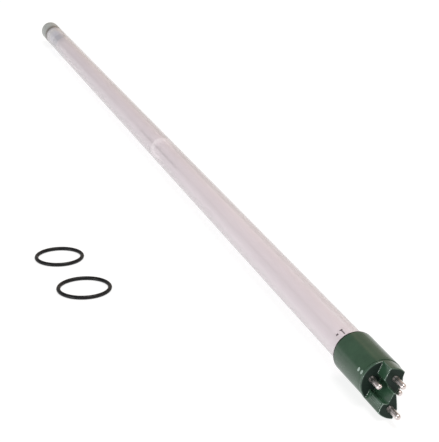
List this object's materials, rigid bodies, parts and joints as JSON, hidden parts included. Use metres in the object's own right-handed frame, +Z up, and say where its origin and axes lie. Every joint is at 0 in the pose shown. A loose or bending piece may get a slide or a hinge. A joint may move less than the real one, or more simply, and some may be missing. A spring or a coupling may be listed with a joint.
{
  "type": "ultraviolet lamp",
  "caption": "Long slim quartz lamp with a stepped green base, staggered contact pins and a plug at its far end, lying beside two rubber sealing rings.",
  "frame": {"origin": "on the supporting surface, under the middle of the set's bounding box", "axes": "+X along the lamp towards its contact pins, +Z up, the rings on the -Y side"},
  "size_m": [0.932, 0.1406, 0.0235],
  "materials": {
    "quartz_outer": "gloss, faintly milky",
    "quartz_inner": "gloss",
    "quartz_pressed": "pressed, wavy gloss",
    "tungsten": "drawn wire",
    "molybdenum": "rolled foil",
    "nickel_posts": "drawn wire",
    "wire": "drawn wire",
    "silica_tubing": "gloss",
    "spacer_ceramic": "fired, matt",
    "amalgam": "dull silver",
    "end_cap_plastic": "satin",
    "cement": "matt",
    "base_plastic": "gloss moulded",
    "contact_metal": "nickel plated",
    "seal_rubber": "satin"
  },
  "bodies": {
    "lamp": {"jacket_tube": "quartz_outer", "arc_tube": "quartz_inner", "far_press_seal": "quartz_pressed", "far_filament": "tungsten", "far_foils": "molybdenum", "far_electrode_post_1": "nickel_posts", "far_electrode_post_2": "nickel_posts", "near_press_seal": "quartz_pressed", "near_filament": "tungsten", "near_foils": "molybdenum", "near_electrode_post_1": "nickel_posts", "near_electrode_post_2": "nickel_posts", "return_wire_1": "wire", "supply_wire_1": "wire", "far_insulation_1": "silica_tubing", "near_insulation_1": "silica_tubing", "return_wire_2": "wire", "supply_wire_2": "wire", "far_insulation_2": "silica_tubing", "near_insulation_2": "silica_tubing", "far_spacer": "spacer_ceramic", "middle_spacer": "spacer_ceramic", "near_spacer": "spacer_ceramic", "amalgam_pellet": "amalgam", "end_cap": "end_cap_plastic", "end_cap_cement": "cement", "base_sleeve": "base_plastic", "base_cement": "cement", "pin_block": "base_plastic", "contact_pin_1": "contact_metal", "contact_pin_2": "contact_metal", "contact_pin_3": "contact_metal", "contact_pin_4": "contact_metal"},
    "o_ring_1": {"o_ring_1": "seal_rubber"},
    "o_ring_2": {"o_ring_2": "seal_rubber"}
  },
  "joints": [
    {"name": "lift_o_ring_1", "type": "slide", "parent": "lamp", "child": "o_ring_1", "axis": [0, 0, 1], "range_m": [0, 0.1]},
    {"name": "lift_o_ring_2", "type": "slide", "parent": "lamp", "child": "o_ring_2", "axis": [0, 0, 1], "range_m": [0, 0.1]}
  ]
}
